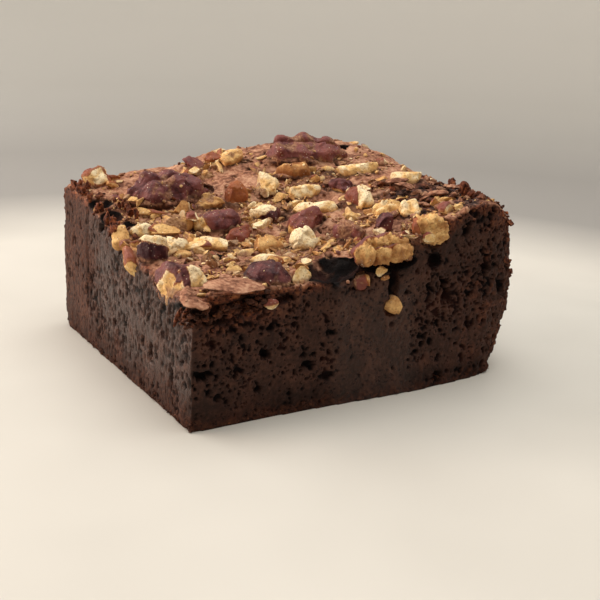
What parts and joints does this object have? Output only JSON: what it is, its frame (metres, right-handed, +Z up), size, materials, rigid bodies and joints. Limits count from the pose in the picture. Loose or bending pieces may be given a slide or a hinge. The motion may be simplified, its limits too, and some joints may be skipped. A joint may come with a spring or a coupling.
{
  "type": "chocolate brownie",
  "caption": "Corner square of dark chocolate brownie with a crackled crust and broken pecans baked into the top, resting on its flat base.",
  "frame": {"origin": "middle of the whole object's bounding box at the level of its flat base", "axes": "+X along the long knife-cut side from the low cut corner towards the tin side, +Y from the long cut side towards the other tin side, +Z up"},
  "size_m": [0.0798, 0.0702, 0.0447],
  "materials": {
    "brownie_crumb": "moist dark chocolate crumb, porous, glossier where the knife smeared it, under a thin tan papery crust",
    "pecan_skin": "wrinkled dark red-brown pecan skin with a low sheen",
    "pecan_kernel": "dry broken pecan kernel, cream to toasted tan"
  },
  "bodies": {
    "root": {"brownie": "brownie_crumb", "pecan_big_purple": "pecan_skin", "pecan_chunk_back": "pecan_kernel", "pecan_chunk_corner": "pecan_kernel", "pecan_chunk_in_face": "pecan_kernel", "pecan_chunk_left": "pecan_kernel", "pecan_chunk_lump": "pecan_kernel", "pecan_chunk_oblong": "pecan_kernel", "pecan_chunk_olive": "pecan_kernel", "pecan_chunk_pair_left": "pecan_kernel", "pecan_chunk_pair_right": "pecan_kernel", "pecan_chunk_purple": "pecan_kernel", "pecan_chunk_round": "pecan_kernel", "pecan_chunk_tan": "pecan_kernel", "pecan_cube_dark": "pecan_skin", "pecan_flake_light": "pecan_kernel", "pecan_flake_orange": "pecan_skin", "pecan_half_back": "pecan_skin", "pecan_half_edge": "pecan_skin", "pecan_half_left": "pecan_skin", "pecan_nub_brown": "pecan_skin", "pecan_quarter_purple": "pecan_skin", "pecan_quarter_red": "pecan_skin", "pecan_round_red": "pecan_skin", "pecan_shell_dark": "pecan_skin", "pecan_slice_back_left": "pecan_kernel", "pecan_slice_back_right": "pecan_kernel", "pecan_slice_curved_left": "pecan_kernel", "pecan_slice_curved_right": "pecan_kernel", "pecan_slice_edge": "pecan_kernel", "pecan_slice_far_right": "pecan_kernel", "pecan_slice_over_red": "pecan_kernel", "pecan_slice_slim": "pecan_kernel", "pecan_stick_dark": "pecan_skin", "pecan_stub_in_face": "pecan_skin", "pecan_wedge_red": "pecan_skin", "pecan_wedge_yellow": "pecan_skin"}
  },
  "joints": []
}
